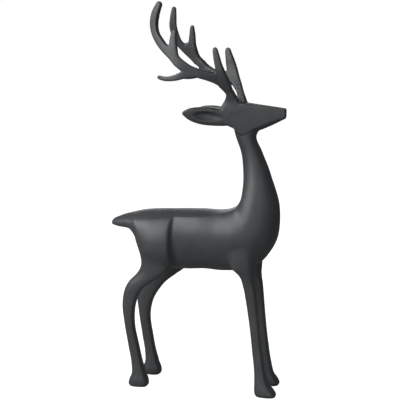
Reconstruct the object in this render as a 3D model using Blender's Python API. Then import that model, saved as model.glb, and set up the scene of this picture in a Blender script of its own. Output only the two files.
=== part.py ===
"""Standing stag figurine, cast in one piece: a smooth body, four slim legs and a pair of antlers.

Metres, Z up. The stag faces +X with its left side on +Y, and stands on its four flat soles at z = 0.
Each form is a skin drawn over a short table of sections in millimetres. The forms are merged into one
casting, the joints between them are softened, and the feet are cut flat.
"""

import math

import bmesh
import bpy
import numpy as np

MM = 0.001

# ---- driving dimensions, in millimetres
GRAIN = 1.6                     # cell size of the merge
TRIANGLES = 9600                # facets left on the finished casting
LEFT_THIGH_FULLNESS = 12.8      # the left thigh runs further forward than the right one
LEFT_THIGH_HEIGHT = 114.0
LEFT_THIGH_SPREAD = 18.0
LEFT_FORELEG_SETBACK = 1.0      # the left foreleg stands a little behind the right one,
LEFT_FOREFOOT_SETBACK = 4.0     # and its foot a little more
EAR_LEAN = 0.08                 # the ears lean out at the top
EAR_HOLLOW_DEPTH = 3.1
ANTLER_THICKNESS = 8.0
ANTLER_ROOT_SWELL = 4.0         # extra thickness where the antler leaves the skull
ANTLER_ROOT_HEIGHT = 308.0
ANTLER_ROOT_TURN = 0.18         # the antler roots follow the taper of the head
ANTLER_ROOT_SPREAD = 9.0        # half the distance between the two antler roots
ANTLER_LEAN = 17.0              # how far each antler spreads outward as it rises
ANTLER_BOW = 12.0               # how far each beam bows outward behind the head
ANTLER_CLOSING = 0.12           # how fast the tines lean back in above the beam

# body and neck: dorsal x and z, ventral x and z, half width, share of it where the back turns down into
# the flank, share of the height where the section is widest, share of the height where the back turns down
BODY = (
    (-44, 196.6, -40, 136, 24, 0.78, 0.58, 0.89),
    (-30, 197.2, -30, 131, 26, 0.78, 0.57, 0.895),
    (-20, 197.7, -20, 130.6, 27.6, 0.78, 0.57, 0.9),
    (-9, 198.1, -8, 131.2, 29.8, 0.76, 0.58, 0.902),
    (3, 198.3, 5, 132.2, 30.6, 0.76, 0.58, 0.91),
    (23.6, 197.8, 30, 131.5, 30.2, 0.64, 0.57, 0.955),
    (38, 201.1, 58, 136.4, 32, 0.53, 0.55, 0.963),
    (44, 205.5, 75, 149, 29.6, 0.56, 0.55, 0.95),
    (47.6, 214, 87.3, 173, 26, 0.66, 0.57, 0.93),
    (48.9, 226.2, 88.5, 202, 20.5, 0.62, 0.57, 0.93),
    (48.8, 240.2, 79, 236, 14.8, 0.55, 0.54, 0.93),
    (46.2, 261, 69.2, 261, 11.8, 0.5, 0.5, 0.92),
    (39.9, 279, 62.5, 279, 11.4, 0.5, 0.48, 0.92),
    (38, 286, 65, 285, 11, 0.5, 0.48, 0.92),
    (36.9, 298, 60, 297, 10, 0.5, 0.48, 0.92),
)
# rump and tail, in the same terms: the fold behind the flank is its blunt front end
RUMP = (
    (-101.8, 180.6, -101.8, 178.6, 2, 0.85, 0.4, 0.7),
    (-100, 182.8, -100, 177.2, 7, 0.85, 0.38, 0.66),
    (-94, 186, -94, 175.5, 12, 0.85, 0.36, 0.65),
    (-84, 189.8, -83.5, 174.4, 17, 0.85, 0.36, 0.65),
    (-77, 191.6, -76, 172.8, 20.5, 0.84, 0.4, 0.66),
    (-73, 192.6, -70.8, 167.4, 23, 0.83, 0.45, 0.72),
    (-69, 193.6, -67, 160.5, 25.8, 0.82, 0.5, 0.776),
    (-65, 194.5, -64.4, 152, 28.6, 0.76, 0.49, 0.816),
    (-58, 195.5, -60, 141, 32.2, 0.72, 0.46, 0.842),
    (-50, 196.3, -52, 134, 35.2, 0.69, 0.45, 0.86),
    (-43, 196.7, -44, 131.8, 36, 0.68, 0.45, 0.868),
    (-37, 197, -37, 131.5, 35.6, 0.68, 0.45, 0.875),
    (-31, 197.1, -31, 131.5, 34.8, 0.69, 0.46, 0.878),
    (-28, 197.1, -28, 131.5, 34, 0.7, 0.47, 0.88),
    (-26.8, 197.1, -26.8, 131.5, 33, 0.72, 0.48, 0.884),
    (-25.6, 197.1, -25.6, 131.6, 31, 0.74, 0.49, 0.888),
    (-24.2, 197.1, -24.2, 132, 28.8, 0.77, 0.51, 0.892),
    (-22.4, 197, -22.4, 133.6, 26.8, 0.77, 0.53, 0.895),
    (-21, 196.8, -21, 136, 23.6, 0.77, 0.55, 0.895),
)
UNDER_SQUARENESS = 2.7          # the rump's sides drop straighter below its widest level than the barrel's

# head: x, top z, lower edge of the cheek, keel of the jaw, half width
HEAD = (
    (26.5, 309, 297, 295, 13),
    (30, 311.4, 292.6, 290.6, 16),
    (39, 313.5, 289, 286, 14.8),
    (48, 313.8, 280.8, 279, 13.2),
    (62, 312.1, 286.8, 283, 10.6),
    (78, 310.1, 293.5, 289.5, 7.6),
    (94.2, 308, 299.2, 297.5, 4.6),
)

# hind leg: z, rear x, front x, inner y, outer y, squareness of the rear and of the front edge (2 is round)
HIND_LEG = (
    (187, -56, -36, 8, 20, 2.4, 3),
    (178, -62, -31, 6, 27, 2.4, 3),
    (168, -64, -29.4, 5, 32, 2.4, 2.6),
    (158, -63.4, -28.6, 4, 33.6, 2.4, 2.4),
    (148, -62, -28, 5, 33, 2.4, 2.4),
    (138, -60.6, -27.6, 7, 31.6, 2.4, 2.6),
    (132, -62.6, -28.6, 10, 31, 2.4, 2.8),
    (126, -67, -35, 14, 30.8, 2.4, 2.8),
    (118, -74, -48, 16, 31, 2.4, 3.2),
    (107, -79.4, -61, 17, 31, 2.4, 4),
    (92, -81.5, -67.2, 17.8, 30.5, 2.4, 5),
    (72, -79.5, -68.8, 18, 30, 2.4, 5),
    (45, -75.2, -64, 17.6, 29.2, 2.4, 5),
    (24, -71.8, -59.2, 16.4, 29.6, 2.4, 4),
    (14, -71.8, -55.8, 15, 30.6, 2.4, 2.6),
    (6, -75, -53.2, 13.8, 31.8, 2.4, 2.9),
    (2, -75.6, -53.2, 14, 31.6, 2.4, 2.9),
    (-1, -73.4, -55.6, 16, 29.6, 2.4, 2.9),
)

# foreleg, in the same terms
FORE_LEG = (
    (178, 44, 60, 6, 25, 3, 2),
    (162, 38.6, 66, 4, 30.2, 5, 1.8),
    (148, 39.4, 67, 5, 30.8, 5, 1.8),
    (138, 42, 66.6, 6.6, 29.8, 4, 1.9),
    (132.5, 47.8, 66.4, 7.8, 28.6, 3, 2),
    (128, 51, 66, 8.8, 27.6, 2.6, 2.2),
    (122, 52.8, 66.6, 9.8, 26.6, 2.4, 2.4),
    (114, 54.8, 67.6, 10.6, 25.6, 2.4, 3.4),
    (104, 56.5, 68.6, 11.4, 24.6, 2.4, 4),
    (76, 60.7, 71.2, 11.8, 23.8, 2.4, 4.4),
    (48, 64, 74.6, 12.2, 24.2, 2.4, 4.4),
    (26, 66.6, 78.6, 12.6, 26, 2.4, 3.6),
    (13, 67, 83, 12, 28, 2.4, 2.6),
    (6, 67, 88.6, 11.4, 29.4, 2.4, 2.8),
    (2, 67.6, 90.8, 11.4, 29.6, 2.4, 2.8),
    (-1, 69.6, 89.6, 13.4, 27.6, 2.4, 2.8),
)

# ear: x, y, z of the middle line, height, thickness
EAR = (
    (42, 6, 298, 15, 8),
    (30, 11.6, 297.9, 17.4, 9),
    (18, 15.6, 299.1, 19.2, 9),
    (5, 20.6, 300.4, 18, 8),
    (-6, 25.6, 302, 11, 6),
    (-11.2, 28.4, 303, 3, 3),
)

# antler strokes seen from the side, root to tip: x, z, width
RIGHT_ANTLER = (
    ((37.4, 303, 25), (37.4, 309, 22.6), (37.4, 313, 17.6), (37.4, 318, 12.6), (36.4, 325, 7.6),
     (32.4, 334, 11), (29.5, 343.5, 10), (27.4, 352.5, 7.6), (25.8, 359.5, 6.8), (23.4, 371.6, 4.8)),
    ((37.2, 322, 6), (33, 331.8, 9.2), (26.4, 338.4, 11.2), (12, 343.2, 9.6), (-2.5, 348.6, 9.6),
     (-11.5, 355, 10.2), (-18.4, 362.2, 9.2), (-26, 369.2, 8.8), (-34.2, 377.8, 7.8), (-39.6, 386.6, 7.2),
     (-41.4, 396, 7.6), (-40.2, 405, 7.6), (-34.6, 419, 5.6)),
    ((-12.5, 354, 8.4), (-16.8, 362, 9), (-18.4, 370, 8.4), (-18.8, 378, 7), (-17.7, 390.4, 4.6)),
    ((5, 345, 9), (-7, 343, 8), (-15, 340.2, 6.2), (-22.8, 339, 5), (-28.8, 339.2, 4.7),
     (-36, 341.2, 3.6)),
    ((-26.4, 368.5, 7), (-18, 367.5, 9)),
)
LEFT_ANTLER = (
    ((44.5, 303, 16), (45.2, 311, 11), (44, 318, 8.4), (41.4, 324.6, 7.4), (37.8, 331, 9), (32, 341, 11.4),
     (29, 351, 10.4), (26.4, 360.5, 8), (23.6, 372, 5)),
    ((34, 335, 7), (25, 340, 10.6), (10.5, 343.2, 8.4), (-3.5, 349.6, 8), (-11.5, 356.8, 9.2),
     (-18.4, 363.4, 9.4), (-26.2, 370, 8.4), (-33.6, 377.8, 7.6), (-37.2, 386.6, 8), (-39.2, 396, 7.8),
     (-38.8, 404, 7), (-37.4, 416.6, 4.4)),
    ((-12, 356, 9), (-17, 364, 10), (-18.8, 374, 8.2), (-18.3, 385, 6.4), (-18, 396.4, 4)),
    ((3.5, 345.6, 9), (-8.5, 344.8, 8), (-17, 341.6, 7), (-25, 340, 5.4), (-31, 340.2, 4.9),
     (-38, 342.2, 3.8)),
    ((-26, 373.6, 7.5), (-18, 373.4, 9.5)),
)

# places where two forms meet in a hollow: x, y, z, reach of the softening
JOINTS = (
    (-26, 18, 131, 15), (-60, 24, 132, 14), (41, 20, 134, 18), (-80, 17, 183, 13), (43, 22, 190, 14),
    (66, 8, 132, 14), (-20, 0, 132, 14), (40, 15, 312, 9), (26, 16, 306, 9), (52, 5, 281, 6),
    (20, 25, 347, 6), (-10, 35, 362, 8), (-15, 35, 349, 7), (-27, 34, 374, 6),
)
# places where one form swells out of another
SWELLS = (
    (-58, 27, 148, 16), (-40, 32, 144, 14), (-67, 28, 132, 16), (42, 28, 150, 12), (60, 27, 154, 18),
)


def through(rows, share):
    """Return smooth in-between rows at each share (0 to 1) of the way down a table."""
    rows = np.asarray(rows, dtype=float)
    steps = np.linalg.norm(np.diff(rows[:, :3], axis=0), axis=1)
    marks = np.concatenate(([0.0], np.cumsum(steps)))
    at = np.clip(share, 0, 1) * marks[-1]
    k = np.clip(np.searchsorted(marks, at) - 1, 0, len(rows) - 2)
    slopes = np.gradient(rows, marks, axis=0)
    gap = (marks[k + 1] - marks[k])[:, None]
    u = (at - marks[k])[:, None] / gap
    return ((1 + 2 * u) * (1 - u) ** 2 * rows[k] + u * (1 - u) ** 2 * gap * slopes[k]
            + u * u * (3 - 2 * u) * rows[k + 1] + u * u * (u - 1) * gap * slopes[k + 1]).T


def rounded(turn, squareness):
    """Return the points at shares of a turn round a unit rounded square (2 is a circle)."""
    angle = 2 * np.pi * (turn % 1.0)
    c, s = np.cos(angle), np.sin(angle)
    power = 2 / squareness
    return np.sign(c) * abs(c) ** power, np.sign(s) * abs(s) ** power


def barrel_skin(rows, under_squareness=2.0):
    """Barrel section with its back flattened to a low crown, swung to follow the spine."""
    def skin(turn, share):
        dorsal_x, dorsal_z, ventral_x, ventral_z, half_width, flat, waist, edge = through(rows, share)
        c, s = rounded(turn, np.where(turn > 0.5, under_squareness, 2.0))
        turn_down = np.sqrt(1 - flat ** 2)
        rise = np.where(s > 0, waist + (edge - waist) * s / turn_down, waist * (1 + s))
        rise = np.where(s > turn_down, edge + (1 - edge) * (1 - (c / flat) ** 2), rise)
        return (ventral_x + (dorsal_x - ventral_x) * rise, half_width * c,
                ventral_z + (dorsal_z - ventral_z) * rise)
    return skin


def head_skin(turn, share):
    """Wedge with a flat crown and cheeks and a chamfered jaw."""
    x, top, cheek, keel, half_width = through(HEAD, share)
    c, s = rounded(turn, 14.0)
    fall = np.maximum(0.0, (-0.6 - s) / 0.4)
    z = cheek + (top - cheek) * np.maximum(0.0, s + 0.6) / 1.6 + (keel - cheek) * fall
    return x, half_width * c * (1 - 0.55 * fall), z


def leg_skin(rows, fullness=0.0, setback=0.0, foot_setback=0.0):
    """Level sections stacked down a leg, rounded behind and squarer in front."""
    def skin(turn, share):
        z, rear, front, inner, outer, rear_squareness, front_squareness = through(rows, share)
        front = front + fullness / np.cosh((z - LEFT_THIGH_HEIGHT) / LEFT_THIGH_SPREAD)
        ahead = np.cos(2 * np.pi * turn) > 0
        c, s = rounded(turn, np.where(ahead, front_squareness, rear_squareness))
        x = (rear + front) / 2 + (front - rear) / 2 * c
        x -= setback * np.clip((150 - z) / 30, 0, 1) + foot_setback * np.exp(-np.maximum(z, 0) / 18)
        return x, (inner + outer) / 2 + (outer - inner) / 2 * s, z
    return skin


def ear_skin(turn, share):
    """Leaf-shaped ear with an almond hollow in its outer face."""
    row = through(EAR, share)
    along = through(EAR, share + 0.01)[:3] - through(EAR, share - 0.01)[:3]
    along /= np.linalg.norm(along, axis=0)
    c, s = rounded(turn, 4.0)
    up, back = c / 0.5, (share - 0.53) / 0.28
    bowl = np.clip(1 - up ** 2 - back ** 2, 0, 1) ** 0.7 * (1 + 0.5 * up + 0.3 * back)
    hollow = np.where(s < 0, EAR_HOLLOW_DEPTH * bowl, 0.0)
    aside = s * row[4] / 2 + hollow - EAR_LEAN * c * row[3] / 2
    return row[0] - along[1] * aside, row[1] + along[0] * aside, row[2] + c * row[3] / 2


def antler_sheet(x, z):
    """Distance of the antler's middle surface from the centre line: it spreads, bows and closes in."""
    rise = np.maximum(z - 310.0, 0.0)
    bow = 0.5 + 0.5 * np.cos(np.pi * np.clip((x + 18) / 46, -1, 1))
    root = ANTLER_ROOT_SPREAD + ANTLER_ROOT_TURN * (39 - x) * np.exp(-rise / 12)
    ahead = np.clip((x - 8) / 18, 0, 1)
    return (root + ANTLER_LEAN * (1 - ahead * np.exp(-(rise / 26) ** 2.2))
            + bow * (ANTLER_BOW - ANTLER_CLOSING * np.maximum(0.0, z - 350)))


def antler_skin(rows):
    """Flat-sided stroke with a round end, laid on the antler sheet."""
    length = sum(math.dist(a[:2], b[:2]) for a, b in zip(rows, rows[1:]))

    def skin(turn, share):
        share = 1 - (1 - share) ** 1.5
        x, z, width = through(rows, share)
        ahead = through(rows, share + 0.01) - through(rows, share - 0.01)
        ahead /= np.linalg.norm(ahead[:2], axis=0)
        left = (1 - share) * length
        end = np.sqrt(np.maximum(0.0, 1 - np.maximum(0.0, 1 - left / (0.55 * width)) ** 2))
        swell = ANTLER_ROOT_SWELL * np.exp(-np.maximum(0.0, z - ANTLER_ROOT_HEIGHT) / 12)
        thickness = np.minimum(ANTLER_THICKNESS, 0.95 * width) + swell
        c, s = rounded(turn, 8.0)
        px = x - ahead[1] * c * end * width / 2
        pz = z + ahead[0] * c * end * width / 2
        slope_x = antler_sheet(px + 0.5, pz) - antler_sheet(px - 0.5, pz)
        slope_z = antler_sheet(px, pz + 0.5) - antler_sheet(px, pz - 0.5)
        out = s * end * thickness / 2 / np.sqrt(1 + slope_x ** 2 + slope_z ** 2)
        return px - slope_x * out, antler_sheet(px, pz) + out, pz - slope_z * out
    return skin


def wrap(bm, skin, around, along, side=1):
    """Draw one closed skin into bm; side -1 gives its mirror image."""
    grid = bmesh.ops.create_grid(bm, x_segments=around, y_segments=along, size=0.5)["verts"]
    flat = np.array([vert.co[:2] for vert in grid]) + 0.5
    x, y, z = skin(flat[:, 0], flat[:, 1])
    for vert, place in zip(grid, np.stack((x, y * side, z), axis=1) * MM):
        vert.co = place
    bmesh.ops.remove_doubles(bm, verts=grid, dist=1e-6)


def make_forms():
    """Draw all the overlapping forms of the stag as closed skins in one mesh."""
    bm = bmesh.new()
    wrap(bm, barrel_skin(BODY), 64, 120)
    wrap(bm, barrel_skin(RUMP, UNDER_SQUARENESS), 64, 90)
    wrap(bm, head_skin, 64, 40)
    for side, antler in ((1, LEFT_ANTLER), (-1, RIGHT_ANTLER)):
        left = 1 if side > 0 else 0
        wrap(bm, leg_skin(HIND_LEG, fullness=left * LEFT_THIGH_FULLNESS), 48, 110, side)
        wrap(bm, leg_skin(FORE_LEG, setback=left * LEFT_FORELEG_SETBACK,
                          foot_setback=left * LEFT_FOREFOOT_SETBACK), 48, 110, side)
        wrap(bm, ear_skin, 48, 40, side)
        for stroke in antler:
            wrap(bm, antler_skin(stroke), 40, 8 * len(stroke), side)
    bmesh.ops.edgeloop_fill(bm, edges=[edge for edge in bm.edges if edge.is_boundary])
    bmesh.ops.recalc_face_normals(bm, faces=bm.faces)
    mesh = bpy.data.meshes.new("deer")
    bm.to_mesh(mesh)
    bm.free()
    deer = bpy.data.objects.new("deer", mesh)
    bpy.context.scene.collection.objects.link(deer)
    return deer


def settle(thing):
    """Bake the object's modifiers into its mesh."""
    graph = bpy.context.evaluated_depsgraph_get()
    baked = bpy.data.meshes.new_from_object(thing.evaluated_get(graph))
    thing.modifiers.clear()
    spent = thing.data
    thing.data = baked
    bpy.data.meshes.remove(spent)


def merge_forms(deer):
    """Merge the overlapping forms into one closed surface."""
    merge = deer.modifiers.new("merge", "REMESH")
    merge.mode = "VOXEL"
    merge.voxel_size = GRAIN * MM
    settle(deer)


def weigh(deer, name, places):
    """Make a vertex group that is full near the places and fades out at their reach."""
    count = len(deer.data.vertices)
    points = np.empty(count * 3)
    deer.data.vertices.foreach_get("co", points)
    points = points.reshape(-1, 3) / MM
    points[:, 1] = abs(points[:, 1])
    weights = np.zeros(count)
    for x, y, z, reach in places:
        far = np.linalg.norm(points - (x, y, z), axis=1)
        weights = np.maximum(weights, np.clip(1.6 * (1 - far / reach), 0, 1))
    group = deer.vertex_groups.new(name=name)
    for index in np.nonzero(weights)[0]:
        group.add([int(index)], float(weights[index]), "REPLACE")


def soften_joints(deer):
    """Blend the forms into each other where they meet, and take the grain off the rest."""
    for name, places, passes in (("swells", SWELLS, 40), ("joints", JOINTS, 14)):
        weigh(deer, name, places)
        blend = deer.modifiers.new("blend " + name, "SMOOTH")
        blend.vertex_group = name
        blend.iterations = passes
    grain = deer.modifiers.new("take off grain", "SMOOTH")
    grain.iterations = 2
    settle(deer)


def thin_facets(deer):
    """Reduce the casting to a facet count that solid modelling can carry."""
    thin = deer.modifiers.new("thin", "DECIMATE")
    thin.ratio = TRIANGLES / sum(len(face.vertices) - 2 for face in deer.data.polygons)
    thin.use_collapse_triangulate = True
    settle(deer)


def cut_soles(deer):
    """Cut the feet flat at the ground and centre the stag over the origin."""
    bm = bmesh.new()
    bm.from_mesh(deer.data)
    cut = bmesh.ops.bisect_plane(bm, geom=bm.verts[:] + bm.edges[:] + bm.faces[:], dist=1e-6,
                                 plane_co=(0, 0, 0), plane_no=(0, 0, 1), clear_inner=True)
    rim = [item for item in cut["geom_cut"] if isinstance(item, bmesh.types.BMEdge)]
    bmesh.ops.edgeloop_fill(bm, edges=rim)
    bmesh.ops.recalc_face_normals(bm, faces=bm.faces)
    low = [min(vert.co[axis] for vert in bm.verts) for axis in range(2)]
    high = [max(vert.co[axis] for vert in bm.verts) for axis in range(2)]
    bmesh.ops.translate(bm, verts=bm.verts, vec=(-(low[0] + high[0]) / 2, -(low[1] + high[1]) / 2, 0))
    bm.to_mesh(deer.data)
    bm.free()


def paint(deer):
    """Matt charcoal paint over the whole casting."""
    coat = bpy.data.materials.new("matt charcoal")
    coat.use_nodes = True
    shader = coat.node_tree.nodes["Principled BSDF"]
    shader.inputs["Base Color"].default_value = (0.062, 0.065, 0.070, 1.0)
    shader.inputs["Roughness"].default_value = 0.48
    shader.inputs["Metallic"].default_value = 0.0
    deer.data.materials.clear()
    deer.data.materials.append(coat)
    for face in deer.data.polygons:
        face.use_smooth = face.normal.z > -0.999


def build():
    for thing in list(bpy.data.objects):
        bpy.data.objects.remove(thing, do_unlink=True)
    deer = make_forms()
    merge_forms(deer)
    soften_joints(deer)
    thin_facets(deer)
    cut_soles(deer)
    paint(deer)


build()
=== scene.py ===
"""Standing stag figurine: a smooth one-piece casting with hollowed ears and flat-sided antlers.

The stag faces +X with its left side on +Y. Each form is a skin drawn over a short table of sections in
millimetres; the forms are merged into one casting, softened where they meet, and painted matt charcoal.
"""

import math

import bmesh
import bpy
import numpy as np
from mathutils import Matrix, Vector


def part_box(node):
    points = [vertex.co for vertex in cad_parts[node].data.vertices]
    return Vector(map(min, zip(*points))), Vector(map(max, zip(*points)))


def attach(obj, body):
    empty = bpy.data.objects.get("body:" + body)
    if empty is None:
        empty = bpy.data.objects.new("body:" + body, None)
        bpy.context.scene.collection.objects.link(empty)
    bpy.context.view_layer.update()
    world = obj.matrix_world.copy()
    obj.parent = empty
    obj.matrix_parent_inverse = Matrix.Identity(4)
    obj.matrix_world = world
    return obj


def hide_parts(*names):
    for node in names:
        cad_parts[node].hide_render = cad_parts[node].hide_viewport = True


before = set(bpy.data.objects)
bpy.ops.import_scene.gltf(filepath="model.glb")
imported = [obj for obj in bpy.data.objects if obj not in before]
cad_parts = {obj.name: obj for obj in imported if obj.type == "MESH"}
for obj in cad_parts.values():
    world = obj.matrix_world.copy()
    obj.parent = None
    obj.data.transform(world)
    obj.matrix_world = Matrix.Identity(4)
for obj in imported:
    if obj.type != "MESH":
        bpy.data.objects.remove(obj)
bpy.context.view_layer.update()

MM = 0.001
CAD_LOW, CAD_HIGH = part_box("deer")
STAG_HEIGHT = CAD_HIGH.z - CAD_LOW.z

# ---- driving dimensions, in millimetres, and slopes and shares where the comment says so
GRAIN = 0.85                    # cell size of the merge
JAW_EDGE = 0.6                  # share of the head's half height, below its middle, where the jaw begins
JAW_NARROWING = 0.55            # share of its width that the jaw loses on its way to the keel
LEFT_THIGH_FULLNESS = 12.8      # the left thigh runs further forward than the right one
LEFT_THIGH_HEIGHT = 114.0
LEFT_THIGH_SPREAD = 18.0
LEFT_FORELEG_SETBACK = 1.0      # the left foreleg stands a little behind the right one,
LEFT_FOREFOOT_SETBACK = 4.0     # and its foot a little more
FORELEG_SETBACK_TOP = 150.0     # height where the setback starts,
FORELEG_SETBACK_FADE = 30.0     # and how far down the leg it takes to grow to its full value
FOREFOOT_SETBACK_FADE = 18.0    # how far up the leg the foot's own setback dies away
EAR_LEAN = 0.08                 # slope of the ears, which lean out at the top
EAR_HOLLOW_DEPTH = 3.1
EAR_HOLLOW_HEIGHT = 0.5         # the hollow's half height, as a share of the ear's,
EAR_HOLLOW_MIDDLE = 0.53        # its middle, as a share of the ear's length,
EAR_HOLLOW_REACH = 0.28         # and how far it runs to each side of that, as a share too
ANTLER_THICKNESS = 8.0
ANTLER_ROOT_SWELL = 4.0         # extra thickness where the antler leaves the skull
ANTLER_ROOT_HEIGHT = 308.0
ANTLER_ROOT_FADE = 12.0         # how far up the swell and the turn of the root die away
ANTLER_ROOT_TURN = 0.18         # slope of the antler roots, which follow the taper of the head,
ANTLER_ROOT_X = 39.0            # and where it leaves their spread unchanged
ANTLER_ROOT_SPREAD = 9.0        # half the distance between the two antler roots
ANTLER_FOOT_HEIGHT = 310.0      # height where the antlers start to spread
ANTLER_LEAN = 17.0              # how far each antler spreads outward as it rises
ANTLER_LEAN_START_X = 8.0       # behind this place an antler has its whole lean from the start,
ANTLER_LEAN_CHANGE = 18.0       # and this much further ahead it grows into its lean as it rises,
ANTLER_LEAN_HEIGHT = 26.0       # over this height,
ANTLER_LEAN_ONSET = 2.2         # the later the higher this power is
ANTLER_BOW = 12.0               # how far each beam bows outward behind the head
ANTLER_BOW_X = -18.0            # middle of the bow,
ANTLER_BOW_REACH = 46.0         # and how far it runs to each side of that
ANTLER_CLOSING = 0.12           # slope of the tines, which lean back in above the beam,
ANTLER_CLOSING_HEIGHT = 350.0   # from this height
ANTLER_THIN_SHARE = 0.95        # a thin tine is this share of its width thick
ANTLER_TIP_ROUNDING = 0.55      # length of a tine's rounded end, as a share of its width

# body and neck: dorsal x and z, ventral x and z, half width, share of it where the back turns down into
# the flank, share of the height where the section is widest, share of the height where the back turns down
BODY = (
    (-44, 196.6, -40, 136, 24, 0.78, 0.58, 0.89),
    (-30, 197.2, -30, 131, 26, 0.78, 0.57, 0.895),
    (-20, 197.7, -20, 130.6, 27.6, 0.78, 0.57, 0.9),
    (-9, 198.1, -8, 131.2, 29.8, 0.76, 0.58, 0.902),
    (3, 198.3, 5, 132.2, 30.6, 0.76, 0.58, 0.91),
    (23.6, 197.8, 30, 131.5, 30.2, 0.64, 0.57, 0.955),
    (38, 201.1, 58, 136.4, 32, 0.53, 0.55, 0.963),
    (44, 205.5, 75, 149, 29.6, 0.56, 0.55, 0.95),
    (47.6, 214, 87.3, 173, 26, 0.66, 0.57, 0.93),
    (48.9, 226.2, 88.5, 202, 20.5, 0.62, 0.57, 0.93),
    (48.8, 240.2, 79, 236, 14.8, 0.55, 0.54, 0.93),
    (46.2, 261, 69.2, 261, 11.8, 0.5, 0.5, 0.92),
    (39.9, 279, 62.5, 279, 11.4, 0.5, 0.48, 0.92),
    (38, 286, 65, 285, 11, 0.5, 0.48, 0.92),
    (36.9, 298, 60, 297, 10, 0.5, 0.48, 0.92),
)
# rump and tail, in the same terms: the fold behind the flank is its blunt front end
RUMP = (
    (-101.8, 180.6, -101.8, 178.6, 2, 0.85, 0.4, 0.7),
    (-100, 182.8, -100, 177.2, 7, 0.85, 0.38, 0.66),
    (-94, 186, -94, 175.5, 12, 0.85, 0.36, 0.65),
    (-84, 189.8, -83.5, 174.4, 17, 0.85, 0.36, 0.65),
    (-77, 191.6, -76, 172.8, 20.5, 0.84, 0.4, 0.66),
    (-73, 192.6, -70.8, 167.4, 23, 0.83, 0.45, 0.72),
    (-69, 193.6, -67, 160.5, 25.8, 0.82, 0.5, 0.776),
    (-65, 194.5, -64.4, 152, 28.6, 0.76, 0.49, 0.816),
    (-58, 195.5, -60, 141, 32.2, 0.72, 0.46, 0.842),
    (-50, 196.3, -52, 134, 35.2, 0.69, 0.45, 0.86),
    (-43, 196.7, -44, 131.8, 36, 0.68, 0.45, 0.868),
    (-37, 197, -37, 131.5, 35.6, 0.68, 0.45, 0.875),
    (-31, 197.1, -31, 131.5, 34.8, 0.69, 0.46, 0.878),
    (-28, 197.1, -28, 131.5, 34, 0.7, 0.47, 0.88),
    (-26.8, 197.1, -26.8, 131.5, 33, 0.72, 0.48, 0.884),
    (-25.6, 197.1, -25.6, 131.6, 31, 0.74, 0.49, 0.888),
    (-24.2, 197.1, -24.2, 132, 28.8, 0.77, 0.51, 0.892),
    (-22.4, 197, -22.4, 133.6, 26.8, 0.77, 0.53, 0.895),
    (-21, 196.8, -21, 136, 23.6, 0.77, 0.55, 0.895),
)
UNDER_SQUARENESS = 2.7          # the rump's sides drop straighter below its widest level than the barrel's

# head: x, top z, lower edge of the cheek, keel of the jaw, half width
HEAD = (
    (26.5, 309, 297, 295, 13),
    (30, 311.4, 292.6, 290.6, 16),
    (39, 313.5, 289, 286, 14.8),
    (48, 313.8, 280.8, 279, 13.2),
    (62, 312.1, 286.8, 283, 10.6),
    (78, 310.1, 293.5, 289.5, 7.6),
    (94.2, 308, 299.2, 297.5, 4.6),
)

# hind leg: z, rear x, front x, inner y, outer y, squareness of the rear and of the front edge (2 is round)
HIND_LEG = (
    (187, -56, -36, 8, 20, 2.4, 3),
    (178, -62, -31, 6, 27, 2.4, 3),
    (168, -64, -29.4, 5, 32, 2.4, 2.6),
    (158, -63.4, -28.6, 4, 33.6, 2.4, 2.4),
    (148, -62, -28, 5, 33, 2.4, 2.4),
    (138, -60.6, -27.6, 7, 31.6, 2.4, 2.6),
    (132, -62.6, -28.6, 10, 31, 2.4, 2.8),
    (126, -67, -35, 14, 30.8, 2.4, 2.8),
    (118, -74, -48, 16, 31, 2.4, 3.2),
    (107, -79.4, -61, 17, 31, 2.4, 4),
    (92, -81.5, -67.2, 17.8, 30.5, 2.4, 5),
    (72, -79.5, -68.8, 18, 30, 2.4, 5),
    (45, -75.2, -64, 17.6, 29.2, 2.4, 5),
    (24, -71.8, -59.2, 16.4, 29.6, 2.4, 4),
    (14, -71.8, -55.8, 15, 30.6, 2.4, 2.6),
    (6, -75, -53.2, 13.8, 31.8, 2.4, 2.9),
    (2, -75.6, -53.2, 14, 31.6, 2.4, 2.9),
    (-1, -73.4, -55.6, 16, 29.6, 2.4, 2.9),
)

# foreleg, in the same terms
FORE_LEG = (
    (178, 44, 60, 6, 25, 3, 2),
    (162, 38.6, 66, 4, 30.2, 5, 1.8),
    (148, 39.4, 67, 5, 30.8, 5, 1.8),
    (138, 42, 66.6, 6.6, 29.8, 4, 1.9),
    (132.5, 47.8, 66.4, 7.8, 28.6, 3, 2),
    (128, 51, 66, 8.8, 27.6, 2.6, 2.2),
    (122, 52.8, 66.6, 9.8, 26.6, 2.4, 2.4),
    (114, 54.8, 67.6, 10.6, 25.6, 2.4, 3.4),
    (104, 56.5, 68.6, 11.4, 24.6, 2.4, 4),
    (76, 60.7, 71.2, 11.8, 23.8, 2.4, 4.4),
    (48, 64, 74.6, 12.2, 24.2, 2.4, 4.4),
    (26, 66.6, 78.6, 12.6, 26, 2.4, 3.6),
    (13, 67, 83, 12, 28, 2.4, 2.6),
    (6, 67, 88.6, 11.4, 29.4, 2.4, 2.8),
    (2, 67.6, 90.8, 11.4, 29.6, 2.4, 2.8),
    (-1, 69.6, 89.6, 13.4, 27.6, 2.4, 2.8),
)

# ear: x, y, z of the middle line, height, thickness
EAR = (
    (42, 6, 298, 15, 8),
    (30, 11.6, 297.9, 17.4, 9),
    (18, 15.6, 299.1, 19.2, 9),
    (5, 20.6, 300.4, 18, 8),
    (-6, 25.6, 302, 11, 6),
    (-11.2, 28.4, 303, 3, 3),
)

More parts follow.
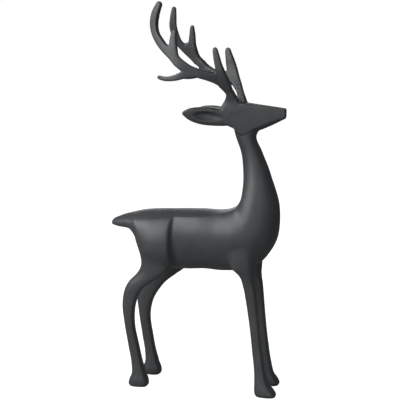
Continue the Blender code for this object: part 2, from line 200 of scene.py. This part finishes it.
# antler strokes seen from the side, root to tip: x, z, width
RIGHT_ANTLER = (
    ((37.4, 303, 25), (37.4, 309, 22.6), (37.4, 313, 17.6), (37.4, 318, 12.6), (36.4, 325, 7.6),
     (32.4, 334, 11), (29.5, 343.5, 10), (27.4, 352.5, 7.6), (25.8, 359.5, 6.8), (23.4, 371.6, 4.8)),
    ((37.2, 322, 6), (33, 331.8, 9.2), (26.4, 338.4, 11.2), (12, 343.2, 9.6), (-2.5, 348.6, 9.6),
     (-11.5, 355, 10.2), (-18.4, 362.2, 9.2), (-26, 369.2, 8.8), (-34.2, 377.8, 7.8), (-39.6, 386.6, 7.2),
     (-41.4, 396, 7.6), (-40.2, 405, 7.6), (-34.6, 419, 5.6)),
    ((-12.5, 354, 8.4), (-16.8, 362, 9), (-18.4, 370, 8.4), (-18.8, 378, 7), (-17.7, 390.4, 4.6)),
    ((5, 345, 9), (-7, 343, 8), (-15, 340.2, 6.2), (-22.8, 339, 5), (-28.8, 339.2, 4.7),
     (-36, 341.2, 3.6)),
    ((-26.4, 368.5, 7), (-18, 367.5, 9)),
)
LEFT_ANTLER = (
    ((44.5, 303, 16), (45.2, 311, 11), (44, 318, 8.4), (41.4, 324.6, 7.4), (37.8, 331, 9), (32, 341, 11.4),
     (29, 351, 10.4), (26.4, 360.5, 8), (23.6, 372, 5)),
    ((34, 335, 7), (25, 340, 10.6), (10.5, 343.2, 8.4), (-3.5, 349.6, 8), (-11.5, 356.8, 9.2),
     (-18.4, 363.4, 9.4), (-26.2, 370, 8.4), (-33.6, 377.8, 7.6), (-37.2, 386.6, 8), (-39.2, 396, 7.8),
     (-38.8, 404, 7), (-37.4, 416.6, 4.4)),
    ((-12, 356, 9), (-17, 364, 10), (-18.8, 374, 8.2), (-18.3, 385, 6.4), (-18, 396.4, 4)),
    ((3.5, 345.6, 9), (-8.5, 344.8, 8), (-17, 341.6, 7), (-25, 340, 5.4), (-31, 340.2, 4.9),
     (-38, 342.2, 3.8)),
    ((-26, 373.6, 7.5), (-18, 373.4, 9.5)),
)

# places where two forms meet in a hollow: x, y, z, reach of the softening
JOINTS = (
    (-26, 18, 131, 15), (-60, 24, 132, 14), (41, 20, 134, 18), (-80, 17, 183, 13), (43, 22, 190, 14),
    (66, 8, 132, 14), (-20, 0, 132, 14), (40, 15, 312, 9), (26, 16, 306, 9), (52, 5, 281, 6),
    (20, 25, 347, 6), (-10, 35, 362, 8), (-15, 35, 349, 7), (-27, 34, 374, 6),
)
# places where one form swells out of another
SWELLS = (
    (-58, 27, 148, 16), (-40, 32, 144, 14), (-67, 28, 132, 16), (42, 28, 150, 12), (60, 27, 154, 18),
)

# ---- squareness of the cross-sections: 2 is round, more is squarer
HEAD_SQUARENESS = 14.0
EAR_SQUARENESS = 4.0
ANTLER_SQUARENESS = 8.0

# ---- finish of the casting and of the floor
TRIANGLES = 190000
SWELL_PASSES = 160
JOINT_PASSES = 50
GRAIN_PASSES = 3
BLEND_CORE = 1.6                # the higher, the more of a blend's reach has its full weight
DEEP_CHARCOAL = (0.0297, 0.0322, 0.0347, 1.0)
WORN_CHARCOAL = (0.0378, 0.041, 0.0442, 1.0)
PALE_FLOOR = (0.26, 0.26, 0.26, 1.0)

# ---- surround and camera: angles in degrees, distance and offset in stag heights
SURROUND_LIGHT = 0.14
CAMERA_AZIMUTH = 16
CAMERA_ELEVATION = 8
CAMERA_DISTANCE = 2.6
CAMERA_OFFSET = Vector((0.0093, 0, -0.0053))


# ---------------------------------------------------------------- forms

def through(rows, share):
    """Return smooth in-between rows at each share (0 to 1) of the way down a table."""
    rows = np.asarray(rows, dtype=float)
    steps = np.linalg.norm(np.diff(rows[:, :3], axis=0), axis=1)
    marks = np.concatenate(([0.0], np.cumsum(steps)))
    at = np.clip(share, 0, 1) * marks[-1]
    k = np.clip(np.searchsorted(marks, at) - 1, 0, len(rows) - 2)
    slopes = np.gradient(rows, marks, axis=0)
    gap = (marks[k + 1] - marks[k])[:, None]
    u = (at - marks[k])[:, None] / gap
    return ((1 + 2 * u) * (1 - u) ** 2 * rows[k] + u * (1 - u) ** 2 * gap * slopes[k]
            + u * u * (3 - 2 * u) * rows[k + 1] + u * u * (u - 1) * gap * slopes[k + 1]).T


def rounded(turn, squareness):
    """Return the points at shares of a turn round a unit rounded square (2 is a circle)."""
    angle = 2 * np.pi * (turn % 1.0)
    c, s = np.cos(angle), np.sin(angle)
    power = 2 / squareness
    return np.sign(c) * abs(c) ** power, np.sign(s) * abs(s) ** power


def barrel_skin(rows, under_squareness=2.0):
    """Barrel section with its back flattened to a low crown, swung to follow the spine."""
    def skin(turn, share):
        dorsal_x, dorsal_z, ventral_x, ventral_z, half_width, flat, waist, edge = through(rows, share)
        c, s = rounded(turn, np.where(turn > 0.5, under_squareness, 2.0))
        turn_down = np.sqrt(1 - flat ** 2)
        rise = np.where(s > 0, waist + (edge - waist) * s / turn_down, waist * (1 + s))
        rise = np.where(s > turn_down, edge + (1 - edge) * (1 - (c / flat) ** 2), rise)
        return (ventral_x + (dorsal_x - ventral_x) * rise, half_width * c,
                ventral_z + (dorsal_z - ventral_z) * rise)
    return skin


def head_skin(turn, share):
    """Wedge with a flat crown and cheeks and a chamfered jaw."""
    x, top, cheek, keel, half_width = through(HEAD, share)
    c, s = rounded(turn, HEAD_SQUARENESS)
    fall = np.maximum(0.0, (-JAW_EDGE - s) / (1 - JAW_EDGE))
    z = cheek + (top - cheek) * np.maximum(0.0, s + JAW_EDGE) / (1 + JAW_EDGE) + (keel - cheek) * fall
    return x, half_width * c * (1 - JAW_NARROWING * fall), z


def leg_skin(rows, fullness=0.0, setback=0.0, foot_setback=0.0):
    """Level sections stacked down a leg, rounded behind and squarer in front."""
    def skin(turn, share):
        z, rear, front, inner, outer, rear_squareness, front_squareness = through(rows, share)
        front = front + fullness / np.cosh((z - LEFT_THIGH_HEIGHT) / LEFT_THIGH_SPREAD)
        ahead = np.cos(2 * np.pi * turn) > 0
        c, s = rounded(turn, np.where(ahead, front_squareness, rear_squareness))
        x = (rear + front) / 2 + (front - rear) / 2 * c
        x -= (setback * np.clip((FORELEG_SETBACK_TOP - z) / FORELEG_SETBACK_FADE, 0, 1)
              + foot_setback * np.exp(-np.maximum(z, 0) / FOREFOOT_SETBACK_FADE))
        return x, (inner + outer) / 2 + (outer - inner) / 2 * s, z
    return skin


def ear_skin(turn, share):
    """Leaf-shaped ear with an almond hollow in its outer face."""
    row = through(EAR, share)
    along = through(EAR, share + 0.01)[:3] - through(EAR, share - 0.01)[:3]
    along /= np.linalg.norm(along, axis=0)
    c, s = rounded(turn, EAR_SQUARENESS)
    up, back = c / EAR_HOLLOW_HEIGHT, (share - EAR_HOLLOW_MIDDLE) / EAR_HOLLOW_REACH
    bowl = np.clip(1 - up ** 2 - back ** 2, 0, 1) ** 0.7 * (1 + 0.5 * up + 0.3 * back)
    hollow = np.where(s < 0, EAR_HOLLOW_DEPTH * bowl, 0.0)
    aside = s * row[4] / 2 + hollow - EAR_LEAN * c * row[3] / 2
    return row[0] - along[1] * aside, row[1] + along[0] * aside, row[2] + c * row[3] / 2


def antler_sheet(x, z):
    """Distance of the antler's middle surface from the centre line: it spreads, bows and closes in."""
    rise = np.maximum(z - ANTLER_FOOT_HEIGHT, 0.0)
    root = ANTLER_ROOT_SPREAD + ANTLER_ROOT_TURN * (ANTLER_ROOT_X - x) * np.exp(-rise / ANTLER_ROOT_FADE)
    ahead = np.clip((x - ANTLER_LEAN_START_X) / ANTLER_LEAN_CHANGE, 0, 1)
    lean = ANTLER_LEAN * (1 - ahead * np.exp(-(rise / ANTLER_LEAN_HEIGHT) ** ANTLER_LEAN_ONSET))
    bow = 0.5 + 0.5 * np.cos(np.pi * np.clip((x - ANTLER_BOW_X) / ANTLER_BOW_REACH, -1, 1))
    return root + lean + bow * (ANTLER_BOW - ANTLER_CLOSING * np.maximum(0.0, z - ANTLER_CLOSING_HEIGHT))


def antler_skin(rows):
    """Flat-sided stroke with a round end, laid on the antler sheet."""
    length = sum(math.dist(a[:2], b[:2]) for a, b in zip(rows, rows[1:]))

    def skin(turn, share):
        share = 1 - (1 - share) ** 1.5
        x, z, width = through(rows, share)
        ahead = through(rows, share + 0.01) - through(rows, share - 0.01)
        ahead /= np.linalg.norm(ahead[:2], axis=0)
        left = (1 - share) * length
        end = np.sqrt(np.maximum(0.0, 1 - np.maximum(0.0, 1 - left / (ANTLER_TIP_ROUNDING * width)) ** 2))
        swell = ANTLER_ROOT_SWELL * np.exp(-np.maximum(0.0, z - ANTLER_ROOT_HEIGHT) / ANTLER_ROOT_FADE)
        thickness = np.minimum(ANTLER_THICKNESS, ANTLER_THIN_SHARE * width) + swell
        c, s = rounded(turn, ANTLER_SQUARENESS)
        px = x - ahead[1] * c * end * width / 2
        pz = z + ahead[0] * c * end * width / 2
        # slopes of the sheet, taken over a millimetre
        slope_x = antler_sheet(px + 0.5, pz) - antler_sheet(px - 0.5, pz)
        slope_z = antler_sheet(px, pz + 0.5) - antler_sheet(px, pz - 0.5)
        out = s * end * thickness / 2 / np.sqrt(1 + slope_x ** 2 + slope_z ** 2)
        return px - slope_x * out, antler_sheet(px, pz) + out, pz - slope_z * out
    return skin


def wrap(bm, skin, around, along, side=1):
    """Draw one closed skin into bm; side -1 gives its mirror image."""
    grid = bmesh.ops.create_grid(bm, x_segments=around, y_segments=along, size=0.5)["verts"]
    flat = np.array([vert.co[:2] for vert in grid]) + 0.5
    x, y, z = skin(flat[:, 0], flat[:, 1])
    for vert, place in zip(grid, np.stack((x, y * side, z), axis=1) * MM):
        vert.co = place
    bmesh.ops.remove_doubles(bm, verts=grid, dist=1e-6)


def make_forms():
    """Draw all the overlapping forms of the stag as closed skins in one mesh."""
    bm = bmesh.new()
    wrap(bm, barrel_skin(BODY), around=160, along=260)
    wrap(bm, barrel_skin(RUMP, UNDER_SQUARENESS), around=160, along=140)
    wrap(bm, head_skin, around=160, along=120)
    for side, antler in ((1, LEFT_ANTLER), (-1, RIGHT_ANTLER)):
        left = 1 if side > 0 else 0
        hind_leg = leg_skin(HIND_LEG, fullness=left * LEFT_THIGH_FULLNESS)
        fore_leg = leg_skin(FORE_LEG, setback=left * LEFT_FORELEG_SETBACK,
                            foot_setback=left * LEFT_FOREFOOT_SETBACK)
        wrap(bm, hind_leg, around=96, along=240, side=side)
        wrap(bm, fore_leg, around=96, along=240, side=side)
        wrap(bm, ear_skin, around=96, along=80, side=side)
        for stroke in antler:
            wrap(bm, antler_skin(stroke), around=64, along=16 * len(stroke), side=side)
    bmesh.ops.edgeloop_fill(bm, edges=[edge for edge in bm.edges if edge.is_boundary])
    bmesh.ops.recalc_face_normals(bm, faces=bm.faces)
    mesh = bpy.data.meshes.new("stag")
    bm.to_mesh(mesh)
    bm.free()
    stag = bpy.data.objects.new("stag", mesh)
    bpy.context.scene.collection.objects.link(stag)
    return stag


def settle(thing):
    """Bake the object's modifiers into its mesh."""
    graph = bpy.context.evaluated_depsgraph_get()
    baked = bpy.data.meshes.new_from_object(thing.evaluated_get(graph))
    thing.modifiers.clear()
    spent = thing.data
    thing.data = baked
    bpy.data.meshes.remove(spent)


def merge_forms(stag):
    """Merge the overlapping forms into one closed surface."""
    merge = stag.modifiers.new("merge", "REMESH")
    merge.mode = "VOXEL"
    merge.voxel_size = GRAIN * MM
    settle(stag)


def weigh(stag, name, places):
    """Make a vertex group that is full near the places and fades out at their reach."""
    count = len(stag.data.vertices)
    points = np.empty(count * 3)
    stag.data.vertices.foreach_get("co", points)
    points = points.reshape(-1, 3) / MM
    points[:, 1] = abs(points[:, 1])
    weights = np.zeros(count)
    for x, y, z, reach in places:
        far = np.linalg.norm(points - (x, y, z), axis=1)
        weights = np.maximum(weights, np.clip(BLEND_CORE * (1 - far / reach), 0, 1))
    group = stag.vertex_groups.new(name=name)
    for index in np.nonzero(weights)[0]:
        group.add([int(index)], float(weights[index]), "REPLACE")


def soften_joints(stag):
    """Blend the forms into each other where they meet, and take the grain off the rest."""
    for name, places, passes in (("swells", SWELLS, SWELL_PASSES), ("joints", JOINTS, JOINT_PASSES)):
        weigh(stag, name, places)
        blend = stag.modifiers.new("blend " + name, "SMOOTH")
        blend.vertex_group = name
        blend.iterations = passes
    grain = stag.modifiers.new("take off grain", "SMOOTH")
    grain.iterations = GRAIN_PASSES
    settle(stag)


def thin_facets(stag):
    """Keep the finished casting under its facet limit."""
    triangles = sum(len(face.vertices) - 2 for face in stag.data.polygons)
    thin = stag.modifiers.new("thin", "DECIMATE")
    thin.ratio = min(1.0, TRIANGLES / triangles)
    thin.use_collapse_triangulate = True
    settle(stag)


def cut_soles(stag):
    """Cut the feet flat at the ground and set the stag into the frame's box."""
    bm = bmesh.new()
    bm.from_mesh(stag.data)
    cut = bmesh.ops.bisect_plane(bm, geom=bm.verts[:] + bm.edges[:] + bm.faces[:], dist=1e-6,
                                 plane_co=(0, 0, 0), plane_no=(0, 0, 1), clear_inner=True)
    rim = [item for item in cut["geom_cut"] if isinstance(item, bmesh.types.BMEdge)]
    bmesh.ops.edgeloop_fill(bm, edges=rim)
    bmesh.ops.recalc_face_normals(bm, faces=bm.faces)
    points = np.array([vert.co[:] for vert in bm.verts])
    low, high = Vector(points.min(axis=0)), Vector(points.max(axis=0))
    middle = (low + high) / 2
    bmesh.ops.translate(bm, verts=bm.verts, vec=(-middle.x, -middle.y, 0))
    bmesh.ops.scale(bm, verts=bm.verts, vec=(STAG_HEIGHT / high.z,) * 3)
    bm.to_mesh(stag.data)
    bm.free()


# ---------------------------------------------------------------- finish

def group_socket(group, name, kind, way, value=None):
    """Add one named socket to a node group."""
    socket = group.interface.new_socket(name=name, in_out=way, socket_type=kind)
    if value is not None:
        socket.default_value = value


def fine_grain():
    """Node group: the fine tooth and slight mottling of the matt paint."""
    group = bpy.data.node_groups.new("fine grain", "ShaderNodeTree")
    group_socket(group, "Size", "NodeSocketFloat", "INPUT", 900.0)
    group_socket(group, "Mottle Size", "NodeSocketFloat", "INPUT", 45.0)
    group_socket(group, "Height", "NodeSocketFloat", "OUTPUT")
    group_socket(group, "Mottle", "NodeSocketFloat", "OUTPUT")
    nodes, links = group.nodes, group.links
    taken = nodes.new("NodeGroupInput")
    given = nodes.new("NodeGroupOutput")
    place = nodes.new("ShaderNodeTexCoord")
    tooth = nodes.new("ShaderNodeTexNoise")
    tooth.inputs["Detail"].default_value = 4.0
    tooth.inputs["Roughness"].default_value = 0.62
    mottle = nodes.new("ShaderNodeTexNoise")
    mottle.inputs["Detail"].default_value = 3.0
    links.new(place.outputs["Object"], tooth.inputs["Vector"])
    links.new(place.outputs["Object"], mottle.inputs["Vector"])
    links.new(taken.outputs["Size"], tooth.inputs["Scale"])
    links.new(taken.outputs["Mottle Size"], mottle.inputs["Scale"])
    links.new(tooth.outputs["Fac"], given.inputs["Height"])
    links.new(mottle.outputs["Fac"], given.inputs["Mottle"])
    return group


def charcoal():
    """Matt charcoal paint over cast resin."""
    coat = bpy.data.materials.new("matt charcoal")
    coat.use_nodes = True
    nodes, links = coat.node_tree.nodes, coat.node_tree.links
    shader = nodes["Principled BSDF"]
    grain = nodes.new("ShaderNodeGroup")
    grain.node_tree = fine_grain()
    tone = nodes.new("ShaderNodeValToRGB")
    tone.color_ramp.elements[0].position = 0.32
    tone.color_ramp.elements[0].color = DEEP_CHARCOAL
    tone.color_ramp.elements[1].position = 0.68
    tone.color_ramp.elements[1].color = WORN_CHARCOAL
    sheen = nodes.new("ShaderNodeMapRange")
    sheen.inputs["To Min"].default_value = 0.41
    sheen.inputs["To Max"].default_value = 0.51
    bump = nodes.new("ShaderNodeBump")
    bump.inputs["Strength"].default_value = 0.12
    bump.inputs["Distance"].default_value = 0.0004
    links.new(grain.outputs["Mottle"], tone.inputs["Fac"])
    links.new(tone.outputs["Color"], shader.inputs["Base Color"])
    links.new(grain.outputs["Height"], sheen.inputs["Value"])
    links.new(sheen.outputs["Result"], shader.inputs["Roughness"])
    links.new(grain.outputs["Height"], bump.inputs["Height"])
    links.new(bump.outputs["Normal"], shader.inputs["Normal"])
    return coat


# ---------------------------------------------------------------- stage

def around(azimuth, elevation, distance, middle):
    """Return the point at a distance from the middle: azimuth 0 stands on the -Y side."""
    a, e = math.radians(azimuth), math.radians(elevation)
    return middle + distance * Vector((math.sin(a) * math.cos(e), -math.cos(a) * math.cos(e), math.sin(e)))


def aim(thing, place, target):
    """Stand a lamp or a camera at a place, looking at the target."""
    thing.location = place
    thing.rotation_euler = (place - target).to_track_quat("Z", "Y").to_euler()


def soft_lamp(name, azimuth, elevation, distance, size, power, target):
    """Round area lamp aimed at the target: angles in degrees, lengths in metres, power in watts."""
    lamp = bpy.data.lights.new(name, "AREA")
    lamp.shape = "DISK"
    lamp.size = size
    lamp.energy = power
    holder = bpy.data.objects.new(name, lamp)
    bpy.context.scene.collection.objects.link(holder)
    aim(holder, around(azimuth, elevation, distance, target), target)


def seen_only(tree, socket, lighting, seen):
    """Give a strength one value for the light it casts and another for how bright it looks."""
    path = tree.nodes.new("ShaderNodeLightPath")
    swap = tree.nodes.new("ShaderNodeMapRange")
    swap.inputs["To Min"].default_value = lighting
    swap.inputs["To Max"].default_value = seen
    tree.links.new(path.outputs["Is Camera Ray"], swap.inputs["Value"])
    tree.links.new(swap.outputs["Result"], socket)


def set_stage(middle):
    """Pale floor, soft lamps and a pale surround."""
    bm = bmesh.new()
    bmesh.ops.create_grid(bm, x_segments=1, y_segments=1, size=12)
    mesh = bpy.data.meshes.new("floor")
    bm.to_mesh(mesh)
    bm.free()
    floor = bpy.data.objects.new("floor", mesh)
    bpy.context.scene.collection.objects.link(floor)
    pale = bpy.data.materials.new("pale floor")
    pale.use_nodes = True
    shader = pale.node_tree.nodes["Principled BSDF"]
    shader.inputs["Base Color"].default_value = PALE_FLOOR
    shader.inputs["Roughness"].default_value = 0.9
    shader.inputs["Emission Color"].default_value = (1, 1, 1, 1)
    seen_only(pale.node_tree, shader.inputs["Emission Strength"], 0.0, 1.0)
    mesh.materials.append(pale)

    soft_lamp("key lamp", azimuth=-30, elevation=33, distance=1.7, size=1.7, power=33.6, target=middle)
    soft_lamp("side lamp", azimuth=-72, elevation=42, distance=1.7, size=0.3, power=9.6, target=middle)
    soft_lamp("fill lamp", azimuth=31, elevation=6, distance=1.9, size=1.4, power=6.6, target=middle)
    soft_lamp("back lamp", azimuth=-159, elevation=12, distance=1.9, size=0.8, power=4.0, target=middle)

    world = bpy.data.worlds.new("surround")
    bpy.context.scene.world = world
    world.use_nodes = True
    backdrop = world.node_tree.nodes["Background"]
    backdrop.inputs["Color"].default_value = (1, 1, 1, 1)
    seen_only(world.node_tree, backdrop.inputs["Strength"], SURROUND_LIGHT, 1.0)


def set_camera(middle):
    """Long lens on the stag's right side, a little ahead of it and a little above."""
    lens = bpy.data.cameras.new("camera")
    lens.lens = 90
    lens.sensor_width = 36
    camera = bpy.data.objects.new("camera", lens)
    bpy.context.scene.collection.objects.link(camera)
    target = middle + CAMERA_OFFSET * STAG_HEIGHT
    aim(camera, around(CAMERA_AZIMUTH, CAMERA_ELEVATION, CAMERA_DISTANCE * STAG_HEIGHT, target), target)
    bpy.context.scene.camera = camera


def main():
    """Cast, paint, light and frame the stag."""
    stag = make_forms()
    merge_forms(stag)
    soften_joints(stag)
    thin_facets(stag)
    cut_soles(stag)
    stag.data.materials.clear()
    stag.data.materials.append(charcoal())
    stag.data.shade_smooth()
    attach(stag, "root")
    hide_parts("deer")
    middle = (CAD_LOW + CAD_HIGH) / 2
    set_stage(middle)
    set_camera(middle)
    bpy.context.scene.view_settings.view_transform = "Standard"


main()
